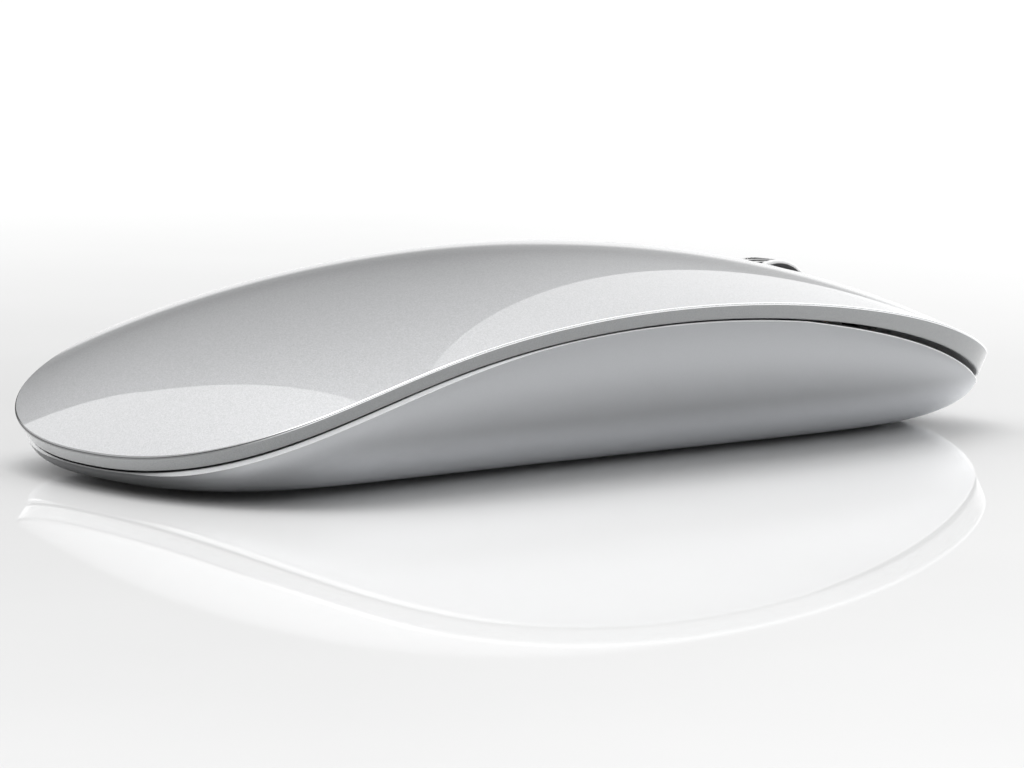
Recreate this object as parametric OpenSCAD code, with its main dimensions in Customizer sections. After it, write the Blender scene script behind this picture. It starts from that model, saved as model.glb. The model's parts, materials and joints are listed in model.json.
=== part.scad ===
// Slim cordless computer mouse: a thin silver cover whose front halves flex as the buttons, a bowl-shaped
// lower case, a scroll wheel on a click cradle, and the electronics, cell and receiver inside.
// Millimetres. +Y points to the buttons, +X to the right and +Z up, with the origin on the desk.

/* [Body] */
// Length over the cover
body_l = 113; // [112:0.5:116]
// Width over the cover
body_w = 59.2; // [58.5:0.1:62]
// Height of the crown above the desk
crown_h = 22.4; // [22.3:0.1:24]
// Height of the lower case above the desk
ground_gap = 0.3; // [0.3:0.05:0.35]

/* [Cover] */
// How far the polished edge slants inwards over its height
band_inset = 0.9; // [0.7:0.1:1]
// Width of the slit between the two buttons
slit_w = 0.4; // [0.3:0.1:0.6]
// Width of the cut across the cover at the flex line
flex_cut = 0.2; // [0.15:0.05:0.3]
// Flex line, forward of the middle of the body
flex_y = 17; // [16:0.5:18]

/* [Lower case] */
// Wall thickness
wall = 1.4; // [1.2:0.1:1.4]
// Width of the flat underside
base_w = 27.7; // [27:0.1:29]
// Length of the flat underside
base_l = 95.2; // [94:0.1:97]
// Gap under the front edge of the cover, for the button travel
front_gap = 0.8; // [0.7:0.05:0.85]

/* [Wheel] */
// Outer radius of the wheel
wheel_r = 5.7; // [5.5:0.1:5.8]
// Width of the tyre
wheel_w = 5.2; // [4.8:0.1:5.4]
// Radius of the axle
axle_r = 1.2; // [1:0.1:1.3]

/* [Buttons and switches] */
// Distance of the side switches from the centre line
switch_x = 13.5; // [12.5:0.5:14.5]
// Place of the side switches, forward of the middle
switch_y = 40; // [39:0.5:41]
// Running clearance of shafts and plungers
play = 0.05; // [0.03:0.01:0.08]

/* [Battery and receiver] */
// Radius of the cell
cell_r = 5.2; // [5:0.05:5.25]
// Length of the cell with its nub
cell_l = 44.5; // [43.5:0.1:44.5]
// Length of the receiver with its plug
receiver_l = 18.9; // [18:0.1:19]

/* [Hidden] */
$fn = 32;
eps = 0.01;

// Outline of the cover: a superellipse rounder behind its widest place than in front of it
widest_y = -18;
rear_side_power = 2.2;
rear_end_power = 4.9;
front_side_power = 5.4;
front_end_power = 3.75;

// Control heights of the side profile, in parts of the crown height, from the rear tip to the front tip
crown_rise = [0.176, 1.01, 0.813, 1.286, 0.898, 1.023, 0.355];
// Control values of the fall from the centre line to the sides, and of the height of the polished edge
side_fall = [3.4, 4.3, 5.8, 3.3];
side_fall_power = 2.14;
edge_height = [1.5, 2.2, 1.05, 2.6];

// Lower case
lip_step = 0.25;
rest_gap = 0.12;
gap_start_y = 20;
gap_power = 0.65;
base_y = 4.4;
base_power = 4.6;
bowl_side_power = 1.9;
bowl_rear_power = 3.1;
bowl_front_power = 1.5;
floor_z = ground_gap + wall;
boss_z = ground_gap + wall/2;

// Openings in the lower case
floor_over = 0.2;
sensor_hole_r = 3.4;
power_hole = [6.8, 3.2];
glide_gap = 0.15;
head_gap = 0.1;
head_bore_top_z = 1.9;
screw_gap = 0.15;
board_bore_z = 2.6;

// Inner frame: how far it reaches below the lip, and how much less at the two ends
frame_gap = 0.4;
frame_wall = 1;
frame_drop = 0.9;
frame_end_lift = 0.65;

// Board
board_z = 5.6;
board_t = 1;
board_top = board_z + board_t;
board_w = 40;
board_rear_y = 17.2;
board_front_y = 48.3;
board_corner = [6, 8];
board_screw_at = [[-17, 19.7], [17, 19.7], [-10.5, 46], [10.5, 46]];
board_screw_r = 0.8;
board_post_r = 1.9;

// Battery bay, from the pocket of the receiver forwards
cell_y = -29.5;
cell_z = 7.4;
nub_l = 0.8;
nub_r = 1.9;
tray_w = 13.6;
tray_wall = 1.3;
tray_rear_y = -33.2;
tray_end_wall = 0.9;
tray_roof = 1.1;
tray_gap = 0.1;
tray_z = 1.9;
tray_top_z = 13.9;
contact_t = 0.4;
contact_size = 8;
spring_turns = 3;
spring_r = [4, 2];
spring_end_gap = 0.4;
spring_wire_r = 0.3;
door_w = 15;
door_t = 1.2;
door_rear_y = -32.1;
door_axis_y = 14.6;
door_axis_z = ground_gap + 0.1 + door_t/2;
door_gap = 0.2;
door_pin_r = 0.4;
door_pin_l = 1.4;
notch_r = 5.2;
notch_z = -4.2;

// Receiver, stored flat across the tail
receiver_y = -41.75;
receiver_w = 14.5;
receiver_t = 6;
receiver_z = 0.4;
receiver_head_l = 6.9;
plug_w = 12;
plug_t = 4.5;
plug_wall = 0.3;
pocket_gap = 0.2;
pocket_wall = 0.8;
pocket_wall_z = 1.2;
pocket_top_z = 6.8;

// Side and middle switches
switch_size = 6;
switch_h = 4;
plunger_r = 1.6;
plunger_h = 2.6;
plunger_rise = 1;
plunger_room = 0.5;
rib_gap = 0.05;
middle_switch_y = 45.3;
middle_switch_h = 2.6;
middle_plunger_r = 1.2;

// Wheel, its cradle and the encoder
wheel_y = 37.1;
wheel_z = 13.3;
tyre_t = 0.8;
hub_w = 4.8;
slot_y = 37.9;
slot_l = 11.6;
slot_w = 6.4;
slot_corner = 1;
pivot_y = 29;
pivot_z = 9.6;
pivot_r = 1;
arm_x = 3.1;
arm_t = 1.2;
arm_r = 1.7;
bar_z = 9.9;
bar_size = [1.8, 1.1];
bracket_x = 4.9;
bracket_t = 1.2;
encoder_x = -8.6;
encoder_size = [2.6, 3.2, 7.75];
rotor_r = 0.85;
rotor_hex_r = 0.68;
axle_hex_r = 0.45;

// Sensor and power switch
sensor_y = 22.5;
power_y = 34.5;
power_travel = 2;

// Fasteners and glides
case_screw_at = [[-10.6, -21], [10.6, -21]];
case_screw_r = 1;
case_head_r = 1.7;
case_boss_r = 2.8;
case_boss_top_z = 3.6;
cover_boss_r = 2.4;
glide_t = 0.5;
front_glide_y = 45;
front_glide_size = [21, 4.4];
rear_glide_size = [3.6, 18];

silver = [0.78, 0.79, 0.81];
satin = [0.66, 0.68, 0.71];
charcoal = [0.16, 0.16, 0.17];
black = [0.08, 0.08, 0.09];
metal = [0.75, 0.73, 0.68];

// ---- Curves ----

function bezier(c, t) = len(c) == 1
    ? c[0]
    : bezier([for (i = [0:len(c) - 2]) c[i]*(1 - t) + c[i + 1]*t], t);
function along(y) = min(1, max(0, y/body_l + 0.5));
function signed_power(v, e) = sign(v)*pow(abs(v), e);

function reach(front) = front ? body_l/2 - widest_y : body_l/2 + widest_y;
function end_power(front) = front ? front_end_power : rear_end_power;
function side_power(front) = front ? front_side_power : rear_side_power;

// Point of the outline at angle a, anticlockwise from the right side, moved in by inset
function outline(a, inset = 0) = let (front = sin(a) > 0)
    [(body_w/2 - inset)*signed_power(cos(a), 2/side_power(front)),
     widest_y + (reach(front) - inset)*signed_power(sin(a), 2/end_power(front))];

// Angle at which the right half of the outline passes y
function outline_angle(y) = let (front = y > widest_y)
    (front ? 1 : -1)*asin(pow(min(1, abs(y - widest_y)/reach(front)), end_power(front)/2));

// Angles once round the outline, spaced evenly along the sides and closely at the ends
function round_angles(n) =
    let (right = [for (i = [0:n - 1]) outline_angle(-body_l/2*cos(180*(i + 0.5)/n))])
    concat(right, [for (i = [0:n - 1]) 180 - right[n - 1 - i]]);

function edge_h(y) = bezier(edge_height, along(y));
function top_z(x, y) =
    crown_h*bezier(crown_rise, along(y))
    - bezier(side_fall, along(y))*pow(abs(2*x/body_w), side_fall_power);
function case_gap(y) = let (forward = min(1, max(0, (y - gap_start_y)/(body_l/2 - gap_start_y))))
    rest_gap + (front_gap - rest_gap)*pow(forward, gap_power);

// Heights of the cover's lower edge and of the lower case's lip at angle a
function band_z(a) = let (p = outline(a)) top_z(p.x, p.y) - edge_h(p.y);
function lip_z(a) = band_z(a) - case_gap(outline(a).y);

// ---- Solids from points ----

// Solid skinned over rings of points that run anticlockwise from above, bottom ring first
module loft(rings, closed = false) {
    n = len(rings);
    m = len(rings[0]);
    quads = [for (i = [0:n - (closed ? 1 : 2)], j = [0:m - 1])
        [i*m + j, ((i + 1)%n)*m + j, ((i + 1)%n)*m + (j + 1)%m, i*m + (j + 1)%m]];
    sides = [for (q = quads) each [[q[0], q[1], q[2]], [q[0], q[2], q[3]]]];
    caps = closed ? [] : [[for (j = [0:m - 1]) j], [for (j = [0:m - 1]) n*m - 1 - j]];
    polyhedron([for (r = rings) each r], concat(sides, caps));
}

// Freeform shells keep all their cuts and bosses in one mesh; the size stays as it is
module one_mesh() {
    resize([0, 0, 0]) children();
}

module bar_x(size, r) {
    linear_extrude(size.z)
        for (s = [-1, 1]) {
            translate([s*(size.x/2 - r), 0]) circle(r);
            square([size.x - 2*r, size.y], center = true);
        }
}

// Box centred in X and Y, standing on z = 0
module block(size) {
    translate([-size.x/2, -size.y/2, 0]) cube(size);
}

module rod_x(r, x0, x1) {
    translate([x0, 0, 0]) rotate([0, 90, 0]) cylinder(r = r, h = x1 - x0);
}

// ---- Cover ----

cover_rows = 56;
cover_cols = 26;

// Section across the cover at y: the upper face from left to right, then the under face back
function cover_section(y) =
    let (half = outline(outline_angle(y)).x,
         front = y > widest_y,
         kx = 1 - 2*band_inset/body_w,
         ky = 1 - band_inset/reach(front))
    concat(
        [for (j = [0:cover_cols]) let (x = half*(2*j/cover_cols - 1)) [x, y, top_z(x, y)]],
        [for (j = [0:cover_cols]) let (x = half*(1 - 2*j/cover_cols))
            [x*kx, widest_y + (y - widest_y)*ky, top_z(x, y) - edge_h(y)]]);

module cover_plate() {
    loft([for (i = [0:cover_rows - 1]) cover_section(-body_l/2*cos(180*(i + 0.5)/cover_rows))]);
}

module wheel_slot() {
    translate([0, slot_y, 0])
        linear_extrude(2*crown_h)
            offset(slot_corner) square([slot_w - 2*slot_corner, slot_l - 2*slot_corner], center = true);
}

// Everything on one side of the slit and forward of the flex line
module button_zone(side) {
    translate([side > 0 ? slit_w/2 : -body_w, flex_y + flex_cut, 0])
        cube([body_w - slit_w/2, body_l, 2*crown_h]);
}

module palm_cover() {
    color(silver) one_mesh() {
        difference() {
            union() {
                difference() {
                    cover_plate();
                    translate([-body_w, flex_y, 0]) cube([2*body_w, body_l, 2*crown_h]);
                }
                for (p = case_screw_at)
                    translate([p.x, p.y, case_boss_top_z + 0.1])
                        cylinder(r = cover_boss_r, h = top_z(p.x, p.y) - edge_h(p.y)/2 - case_boss_top_z);
            }
            for (p = case_screw_at)
                translate([p.x, p.y, 0]) cylinder(r = case_screw_r + play, h = 12);
        }
    }
}

module button(side) {
    rib_z = board_top + switch_h + plunger_rise + rib_gap;
    color(silver) one_mesh() {
        difference() {
            union() {
                intersection() {
                    cover_plate();
                    button_zone(side);
                }
                translate([side*switch_x, switch_y, rib_z])
                    block([3, 3, top_z(switch_x, switch_y) - edge_h(switch_y)/2 - rib_z]);
            }
            wheel_slot();
        }
    }
}

module left_button() {
    button(-1);
}

module right_button() {
    button(1);
}

// ---- Lower case and frame ----

case_points = 40;
case_rings = 11;

function base_outline(a, inset) =
    [(base_w/2 - inset)*signed_power(cos(a), 2/base_power),
     base_y + (base_l/2 - inset)*signed_power(sin(a), 2/base_power)];

// Point of the bowl at angle a round it, with f running from 0 at the flat base to 90 at the lip
function bowl_point(a, f, inset) =
    let (rim = outline(a, band_inset + lip_step + inset),
         base = base_outline(a, inset),
         power = bowl_side_power*pow(cos(a), 2)
             + (sin(a) > 0 ? bowl_front_power : bowl_rear_power)*pow(sin(a), 2),
         xy = base + (rim - base)*pow(sin(f), 2/power),
         z0 = ground_gap + inset)
    [xy.x, xy.y, z0 + (lip_z(a) - z0)*(1 - pow(cos(f), 2/power))];

module bowl() {
    angles = round_angles(case_points);
    steps = [for (i = [0:case_rings]) 90*i/case_rings];
    loft(concat(
        [for (f = steps) [for (a = angles) bowl_point(a, f, 0)]],
        [for (f = steps) [for (a = angles) bowl_point(a, 90 - f, wall)]]));
}

module pocket_walls() {
    size = [receiver_l, receiver_w] + 2*pocket_gap*[1, 1];
    outer = size + 2*pocket_wall*[1, 1];
    translate([0, receiver_y, pocket_wall_z]) block([outer.x, outer.y, pocket_top_z - pocket_wall_z]);
}

module lower_case_cuts() {
    pocket = [receiver_l, receiver_w] + 2*pocket_gap*[1, 1];
    long_glide = front_glide_size + 2*glide_gap*[1, 1];
    short_glide = rear_glide_size + 2*glide_gap*[1, 1];
    floor_h = 1 + floor_z + floor_over;
    translate([0, receiver_y, -1]) block([pocket.x, pocket.y, 2*pocket_top_z]);
    translate([-door_w/2 - door_gap, door_rear_y - door_gap, -1])
        cube([door_w + 2*door_gap, door_axis_y + door_t/2 - door_rear_y + 2*door_gap, floor_h]);
    translate([0, door_axis_y, door_axis_z])
        rod_x(door_pin_r + play, -door_w/2 - door_pin_l - door_gap, door_w/2 + door_pin_l + door_gap);
    translate([0, sensor_y, -1]) cylinder(r = sensor_hole_r, h = floor_h);
    translate([0, power_y, -1]) block([power_hole.x, power_hole.y, floor_h]);
    translate([0, front_glide_y, 0]) bar_x([long_glide.x, long_glide.y, glide_t], long_glide.y/2);
    for (p = case_screw_at) {
        translate([p.x, p.y, 0]) block([short_glide.x, short_glide.y, glide_t]);
        translate([p.x, p.y, 0]) cylinder(r = case_head_r + head_gap, h = head_bore_top_z);
        translate([p.x, p.y, 0]) cylinder(r = case_screw_r + screw_gap, h = case_boss_top_z + 1);
    }
    for (p = board_screw_at)
        translate([p.x, p.y, board_bore_z]) cylinder(r = board_screw_r + play, h = board_z);
}

module lower_case() {
    color(satin) one_mesh() {
        difference() {
            union() {
                bowl();
                pocket_walls();
                for (p = case_screw_at)
                    translate([p.x, p.y, boss_z]) cylinder(r = case_boss_r, h = case_boss_top_z - boss_z);
                for (p = board_screw_at)
                    translate([p.x, p.y, floor_z]) cylinder(r = board_post_r, h = board_z - floor_z);
            }
            lower_case_cuts();
        }
    }
}

// Section of the frame at angle a: low outside, low inside, high inside, high outside
function frame_section(a) =
    let (inset = band_inset + lip_step + wall + frame_gap,
         out = outline(a, inset),
         in = outline(a, inset + frame_wall),
         low = lip_z(a) - frame_drop + frame_end_lift*pow(abs(2*outline(a).y/body_l), 8),
         high = band_z(a) + 0.05)
    [[out.x, out.y, low], [out.x, out.y, high], [in.x, in.y, high], [in.x, in.y, low]];

module inner_frame() {
    color(charcoal) loft([for (a = round_angles(case_points)) frame_section(a)], closed = true);
}

// ---- Battery bay ----

module battery_tray() {
    tray_l = cell_y + cell_l + contact_t + tray_end_wall + tray_gap - tray_rear_y;
    color(charcoal) difference() {
        translate([0, tray_rear_y + tray_l/2, tray_z]) block([tray_w, tray_l, tray_top_z - tray_z]);
        translate([0, tray_rear_y + tray_l/2, 0])
            block([tray_w - 2*tray_wall, tray_l - 2*tray_end_wall, tray_top_z - tray_roof]);
    }
}

module battery_door() {
    color(satin) difference() {
        union() {
            translate([-door_w/2, door_rear_y, door_axis_z - door_t/2])
                cube([door_w, door_axis_y - door_rear_y, door_t]);
            translate([0, door_axis_y, door_axis_z]) {
                rod_x(door_t/2, -door_w/2, door_w/2);
                rod_x(door_pin_r, -door_w/2 - door_pin_l, door_w/2 + door_pin_l);
            }
        }
        // finger notch
        translate([0, door_rear_y + 1, notch_z]) sphere(r = notch_r);
    }
}

module battery_cell() {
    color([0.85, 0.72, 0.3]) translate([0, cell_y, cell_z]) rotate([-90, 0, 0]) {
        cylinder(r = cell_r, h = cell_l - nub_l);
        cylinder(r = nub_r, h = cell_l);
    }
}

module positive_contact() {
    color(metal) translate([0, cell_y + cell_l + contact_t/2, cell_z - contact_size/2])
        block([contact_size, contact_t, contact_size]);
}

module negative_spring() {
    steps = 16*spring_turns;
    gap = cell_y - tray_rear_y - tray_end_wall;
    color(metal) loft([for (i = [0:steps])
        let (t = i/steps,
             a = 360*spring_turns*t,
             r = spring_r[0] + (spring_r[1] - spring_r[0])*t,
             y = tray_rear_y + tray_end_wall + spring_end_gap + (gap - 2*spring_end_gap)*t)
        [for (k = [0:7]) let (q = r + spring_wire_r*cos(45*k))
            [q*cos(a), y + spring_wire_r*sin(45*k), cell_z + q*sin(a)]]]);
}

// ---- Board and what it carries ----

module main_board() {
    color([0.07, 0.32, 0.2]) difference() {
        translate([0, 0, board_z]) linear_extrude(board_t)
            polygon([
                [-board_w/2, board_rear_y], [board_w/2, board_rear_y],
                [board_w/2, board_front_y - board_corner.y], [board_w/2 - board_corner.x, board_front_y],
                [board_corner.x - board_w/2, board_front_y], [-board_w/2, board_front_y - board_corner.y]]);
        for (p = board_screw_at)
            translate([p.x, p.y, board_z - 1]) cylinder(r = board_screw_r + 0.2, h = board_t + 2);
        translate([0, sensor_y, board_z - 1]) block([6, 6, board_t + 2]);
    }
}

module switch_body(at, h, bore) {
    color(black) translate([at.x, at.y, board_top]) difference() {
        block([switch_size, switch_size, h]);
        translate([0, 0, h + plunger_rise - plunger_h - plunger_room]) cylinder(r = bore + play, h = h);
    }
}

module switch_plunger(at, h, r) {
    color([0.75, 0.2, 0.15]) translate([at.x, at.y, board_top + h + plunger_rise - plunger_h])
        cylinder(r = r, h = plunger_h);
}

module left_switch_body() {
    switch_body([-switch_x, switch_y], switch_h, plunger_r);
}

module right_switch_body() {
    switch_body([switch_x, switch_y], switch_h, plunger_r);
}

module left_switch_plunger() {
    switch_plunger([-switch_x, switch_y], switch_h, plunger_r);
}

module right_switch_plunger() {
    switch_plunger([switch_x, switch_y], switch_h, plunger_r);
}

module middle_switch_body() {
    switch_body([0, middle_switch_y], middle_switch_h, middle_plunger_r);
}

module middle_switch_plunger() {
    rise = bar_z - rib_gap - board_top - middle_switch_h;
    color([0.75, 0.2, 0.15]) translate([0, middle_switch_y, board_top + middle_switch_h + rise - 1.5])
        cylinder(r = middle_plunger_r, h = 1.5);
}

module sensor_chip() {
    color(black) translate([0, sensor_y, board_top]) {
        translate([0, 0, 0.3]) block([7.4, 8, 2.1]);
        for (s = [-1, 1], i = [-1.5:1:1.5])
            translate([s*4.1, 1.9*i, 0]) block([0.9, 0.5, 1.2]);
    }
}

module sensor_lens() {
    color([0.8, 0.88, 0.95]) translate([0, sensor_y, 0]) {
        translate([0, 0, 2.2]) cylinder(r1 = 2, r2 = 3, h = 1.7);
        translate([0, 0, 3.9]) block([10, 9, 0.9]);
        translate([0, 0, 4.8]) cylinder(r = 2.4, h = 1.6);
        for (s = [-1, 1])
            translate([4.4*s, 0, 4.8]) block([1, 4, board_z - 4.8]);
    }
}

module sensor_lamp() {
    color([0.85, 0.2, 0.15]) translate([6.2, sensor_y, board_top]) {
        block([2, 3.2, 3.2]);
        translate([0, 0, 1.6]) rod_x(1.3, 1, 3);
    }
}

module radio_chip() {
    color(black) translate([-13, 28, board_top]) block([6, 6, 1]);
}

module clock_crystal() {
    color(metal) translate([-11, 22.5, board_top]) bar_x([9, 3.6, 2.6], 1.8);
}

module board_capacitor() {
    color([0.2, 0.22, 0.3]) translate([13, 29.5, board_top]) cylinder(r = 2.5, h = 5.2);
}

// ---- Wheel ----

module wheel_bracket() {
    color(charcoal) difference() {
        union() {
            translate([0, pivot_y, board_top]) block([2*(bracket_x + bracket_t), 3.8, 0.6]);
            for (s = [-1, 1])
                translate([s*(bracket_x + bracket_t/2), pivot_y, board_top])
                    block([bracket_t, 3.8, pivot_z + 2 - board_top]);
        }
        translate([0, pivot_y, pivot_z]) rod_x(pivot_r + play, -bracket_x - 2, bracket_x + 2);
    }
}

// Outline of one arm of the cradle, in the plane of the wheel
module arm_outline() {
    hull() {
        translate([pivot_y, pivot_z]) circle(1.6);
        translate([wheel_y, wheel_z]) circle(arm_r);
    }
    hull() {
        translate([wheel_y, wheel_z]) circle(arm_r);
        translate([middle_switch_y - bar_size.x/2, bar_z]) square(bar_size);
    }
}

module wheel_cradle() {
    color([0.9, 0.9, 0.88]) difference() {
        union() {
            for (x = [-arm_x - arm_t, arm_x])
                translate([x, 0, 0]) rotate([90, 0, 90]) linear_extrude(arm_t) arm_outline();
            translate([0, middle_switch_y, bar_z]) block([2*(arm_x + arm_t), bar_size.x, bar_size.y]);
            for (x = [-bracket_x - bracket_t, arm_x + arm_t])
                translate([0, pivot_y, pivot_z])
                    rod_x(pivot_r, x, x + bracket_x + bracket_t - arm_x - arm_t);
        }
        translate([0, wheel_y, wheel_z]) rod_x(axle_r + play, -arm_x - arm_t - 1, arm_x + arm_t + 1);
    }
}

module wheel_hub() {
    r = wheel_r - tyre_t;
    color(charcoal) translate([0, wheel_y, wheel_z]) difference() {
        union() {
            rod_x(r, -hub_w/2, hub_w/2);
            rod_x(2, -arm_x + 0.1, arm_x - 0.1);
        }
        for (s = [-1, 1])
            translate([s*(hub_w/2 + 0.5), 0, 0]) difference() {
                rod_x(r - 0.7, -1.3, 1.3);
                rod_x(2, -2, 2);
            }
        rod_x(axle_r, -arm_x, arm_x);
    }
}

module wheel_tyre() {
    color([0.85, 0.85, 0.84]) translate([0, wheel_y, wheel_z]) rotate([0, 90, 0])
        rotate_extrude()
            translate([wheel_r - tyre_t, -wheel_w/2])
                polygon([[0, 0], [tyre_t - 0.3, 0], [tyre_t, 0.3], [tyre_t, wheel_w - 0.3],
                         [tyre_t - 0.3, wheel_w], [0, wheel_w]]);
}

module wheel_axle() {
    color(metal) translate([0, wheel_y, wheel_z]) {
        rod_x(axle_r, -arm_x - arm_t, arm_x + arm_t);
        translate([encoder_x + 0.4, 0, 0]) rotate([0, 90, 0])
            cylinder(r = axle_hex_r, h = -arm_x - arm_t - encoder_x - 0.4 + eps, $fn = 6);
    }
}

module encoder_body() {
    color([0.3, 0.45, 0.35]) difference() {
        translate([encoder_x + encoder_size.x/2, wheel_y - 0.3, board_top]) block(encoder_size);
        translate([0, wheel_y, wheel_z]) rod_x(rotor_r + play, encoder_x - 1, encoder_x + 4);
    }
}

module encoder_rotor() {
    color([0.9, 0.9, 0.88]) translate([encoder_x + 0.3, wheel_y, wheel_z]) rotate([0, 90, 0])
        difference() {
            cylinder(r = rotor_r, h = encoder_size.x - 0.6);
            translate([0, 0, -1]) cylinder(r = rotor_hex_r, h = encoder_size.x + 2, $fn = 6);
        }
}

// ---- Power switch, receiver, glides and screws ----

module power_switch_body() {
    color(metal) translate([0, power_y, 2.6]) difference() {
        block([8.6, 3.6, board_z - 2.6]);
        translate([0, 0, -1]) block([4.8, 1.6, 2.5]);
    }
}

module power_slider() {
    color(black) translate([-power_travel/2, power_y, 0]) difference() {
        union() {
            translate([0, 0, 0.75]) block([4.4, 2.8, 1.15]);
            translate([0, 0, 1.8]) block([1.4, 1.2, 2]);
        }
        for (i = [-1:1])
            translate([1.2*i, 0, 0.5]) block([0.4, 4, 0.5]);
    }
}

module receiver_body() {
    head_x = receiver_l/2 - receiver_head_l;
    color(black) translate([0, receiver_y, receiver_z]) {
        translate([head_x + receiver_head_l/2, 0, 0]) block([receiver_head_l, receiver_w, receiver_t]);
        // tongue that carries the contacts inside the plug
        translate([-receiver_l/2 + 0.4, -plug_w/2 + plug_wall, (receiver_t - plug_t)/2 + 2.2])
            cube([head_x + receiver_l/2 - 0.4 + eps, plug_w - 2*plug_wall, 1.9]);
    }
}

module receiver_plug() {
    plug_l = receiver_l - receiver_head_l;
    color(metal) translate([-receiver_l/2 + plug_l/2, receiver_y, receiver_z + (receiver_t - plug_t)/2])
        difference() {
            block([plug_l, plug_w, plug_t]);
            translate([0, 0, plug_wall]) block([plug_l + 2, plug_w - 2*plug_wall, plug_t - 2*plug_wall]);
        }
}

module front_glide() {
    color(charcoal) translate([0, front_glide_y, 0])
        bar_x([front_glide_size.x, front_glide_size.y, glide_t], front_glide_size.y/2);
}

module rear_glides() {
    color(charcoal)
        for (p = case_screw_at)
            translate([p.x, p.y, 0]) block([rear_glide_size.x, rear_glide_size.y, glide_t]);
}

module case_screws() {
    color(metal)
        for (p = case_screw_at)
            translate([p.x, p.y, 0.6]) {
                cylinder(r = case_head_r, h = 1.3);
                cylinder(r = case_screw_r, h = 10);
            }
}

module board_screws() {
    color(metal)
        for (p = board_screw_at)
            translate([p.x, p.y, 0]) {
                translate([0, 0, board_top]) cylinder(r = 1.7, h = 0.9);
                translate([0, 0, 3]) cylinder(r = board_screw_r, h = board_top - 3 + eps);
            }
}

palm_cover();
left_button();
right_button();
inner_frame();
lower_case();
battery_tray();
battery_door();
battery_cell();
positive_contact();
negative_spring();
main_board();
left_switch_body();
right_switch_body();
middle_switch_body();
left_switch_plunger();
right_switch_plunger();
middle_switch_plunger();
wheel_bracket();
wheel_cradle();
wheel_hub();
wheel_tyre();
wheel_axle();
encoder_body();
encoder_rotor();
sensor_chip();
sensor_lens();
sensor_lamp();
radio_chip();
clock_crystal();
board_capacitor();
power_switch_body();
power_slider();
receiver_body();
receiver_plug();
front_glide();
rear_glides();
case_screws();
board_screws();
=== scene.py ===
import json
import math

import bmesh
import bpy
import numpy as np
from mathutils import Matrix, Vector


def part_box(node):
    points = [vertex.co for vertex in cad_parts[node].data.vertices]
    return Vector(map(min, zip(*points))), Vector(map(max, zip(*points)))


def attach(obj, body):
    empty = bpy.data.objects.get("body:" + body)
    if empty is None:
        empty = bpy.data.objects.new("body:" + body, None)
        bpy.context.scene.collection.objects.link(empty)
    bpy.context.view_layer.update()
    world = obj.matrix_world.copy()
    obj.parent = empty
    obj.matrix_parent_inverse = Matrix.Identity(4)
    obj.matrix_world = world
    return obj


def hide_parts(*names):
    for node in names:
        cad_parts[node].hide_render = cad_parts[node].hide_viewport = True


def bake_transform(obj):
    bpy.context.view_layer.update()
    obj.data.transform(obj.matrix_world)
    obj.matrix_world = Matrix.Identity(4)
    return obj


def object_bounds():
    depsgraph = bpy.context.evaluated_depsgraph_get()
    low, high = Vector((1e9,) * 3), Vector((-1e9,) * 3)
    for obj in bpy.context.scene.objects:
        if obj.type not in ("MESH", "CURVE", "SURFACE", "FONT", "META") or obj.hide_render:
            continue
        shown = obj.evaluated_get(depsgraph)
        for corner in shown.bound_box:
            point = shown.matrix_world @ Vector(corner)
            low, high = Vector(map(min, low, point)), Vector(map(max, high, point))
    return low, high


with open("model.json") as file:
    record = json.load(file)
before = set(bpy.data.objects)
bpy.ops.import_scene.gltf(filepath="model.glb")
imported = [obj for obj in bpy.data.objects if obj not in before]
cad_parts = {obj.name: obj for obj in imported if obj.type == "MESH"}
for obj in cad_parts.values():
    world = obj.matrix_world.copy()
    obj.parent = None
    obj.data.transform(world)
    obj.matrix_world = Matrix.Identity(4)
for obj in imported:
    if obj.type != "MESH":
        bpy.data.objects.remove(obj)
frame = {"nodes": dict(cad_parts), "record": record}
cad_low, cad_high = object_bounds()
nodes = frame["nodes"]

# A slim cordless computer mouse on a glossy white floor. Lengths are in metres, +Y is the button end and
# +X is its right side. The shapes follow the curves of the CAD source.
MM = 0.001

# ---- Sizes taken from the frame ----

case_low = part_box("lower_case")[0]
palm_low, palm_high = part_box("palm_cover")
door_low, door_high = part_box("battery_door")
tyre_low, tyre_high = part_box("wheel_tyre")
receiver_low, receiver_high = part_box("receiver_body")
plug_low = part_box("receiver_plug")[0]
lens_low, lens_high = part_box("sensor_lens")
slider_low, slider_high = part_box("power_slider")
front_glide_low, front_glide_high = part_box("front_glide")
rear_glides_low, rear_glides_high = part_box("rear_glides")
switch_low, switch_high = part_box("right_switch_plunger")

LENGTH = cad_high.y - cad_low.y
WIDTH = palm_high.x - palm_low.x
BASE_Z = case_low.z
TYRE_CENTRE = (tyre_low + tyre_high) / 2
TYRE_R = (tyre_high.z - tyre_low.z) / 2
TYRE_W = tyre_high.x - tyre_low.x
WALL = 1.4 * MM

# ---- The cover's curves, as in the CAD source ----

CROWN = 22.4 * MM
WIDEST_Y = -18 * MM
FRONT_REACH = LENGTH / 2 - WIDEST_Y
REAR_REACH = LENGTH / 2 + WIDEST_Y
REAR_POWERS = (2.2, 4.9)
FRONT_POWERS = (5.4, 3.75)
CROWN_RISE = (0.176, 1.01, 0.813, 1.286, 0.898, 1.023, 0.355)
SIDE_FALL = tuple(v * MM for v in (3.4, 4.3, 5.8, 3.3))
SIDE_FALL_POWER = 2.14
EDGE_HEIGHT = tuple(v * MM for v in (1.5, 2.2, 1.05, 2.6))
BAND_INSET = 0.9 * MM
SLIT_W = 0.4 * MM
SLOT_Y = 37.9 * MM
SLOT_SIZE = (6.4 * MM, 11.6 * MM)
SLOT_CORNER = 1 * MM
SPLIT_Y = 13.5 * MM

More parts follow.
